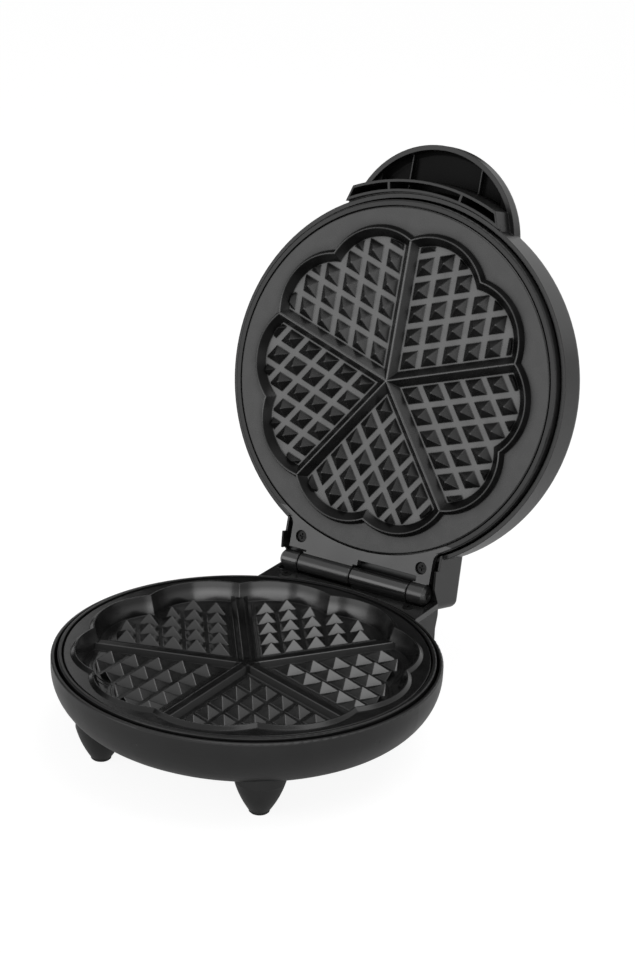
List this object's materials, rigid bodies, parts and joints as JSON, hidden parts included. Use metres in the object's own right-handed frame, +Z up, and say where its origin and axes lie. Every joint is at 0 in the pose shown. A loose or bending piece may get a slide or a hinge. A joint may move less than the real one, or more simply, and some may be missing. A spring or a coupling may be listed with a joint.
{
  "type": "waffle maker",
  "caption": "Round electric waffle maker with heart-shaped moulds, an open hinged lid with a hollow handle, and a bowl-shaped base on tapered legs.",
  "frame": {"origin": "on the table under the middle of the waffle maker's outer box, lid open", "axes": "+Z up, front of the waffle maker towards -Y, hinge along X at the back"},
  "size_m": [0.21, 0.3074, 0.2893],
  "materials": {
    "casing": "satin moulded black",
    "shell": "satin to semi-gloss black",
    "ring": "satin black",
    "plate": "black non-stick coating",
    "rubber_pad": "matt rubber",
    "heater": "dull sheathed heater tube",
    "shield": "bright sheet",
    "steel_screw": "zinc plated",
    "black_screw": "blackened",
    "pin": "drawn wire",
    "thermostat": "phenolic brown",
    "fuse": "drawn can",
    "terminal": "pale heat-proof block",
    "terminal_screw": "turned brass",
    "gland": "moulded bush",
    "red_lens": "clear red",
    "green_lens": "clear green",
    "lamp": "neon lamp glass"
  },
  "bodies": {
    "base": {"lower_casing": "casing", "lower_ring": "ring", "hinge_bracket": "ring", "lower_baking_plate": "plate", "foot_pad_front_left": "rubber_pad", "foot_pad_front_right": "rubber_pad", "foot_pad_rear_left": "rubber_pad", "foot_pad_rear_right": "rubber_pad", "lower_heating_element": "heater", "lower_heat_shield": "shield", "lower_shield_screws": "steel_screw", "casing_screws": "steel_screw", "thermostat_screws": "steel_screw", "fuse_clip_screw": "steel_screw", "bracket_screws": "black_screw", "hinge_pin": "pin", "thermostat": "thermostat", "thermal_fuse": "fuse", "fuse_clip": "shield", "terminal_block": "terminal", "terminal_screws": "terminal_screw", "cord_gland": "gland"},
    "lid": {"upper_ring": "ring", "upper_baking_plate": "plate", "upper_heating_element": "heater", "upper_heat_shield": "shield", "upper_shield_screws": "steel_screw", "upper_plate_screws": "steel_screw", "shell_screws": "steel_screw", "hinge_screws": "black_screw", "upper_shell": "shell", "power_lens": "red_lens", "ready_lens": "green_lens", "power_lamp": "lamp", "ready_lamp": "lamp"}
  },
  "joints": [
    {"name": "lid_hinge", "type": "hinge", "parent": "base", "child": "lid", "pos_m": [0, 0.06377, 0.0543], "axis": [1, 0, 0], "range_deg": [0, 104.6]}
  ]
}
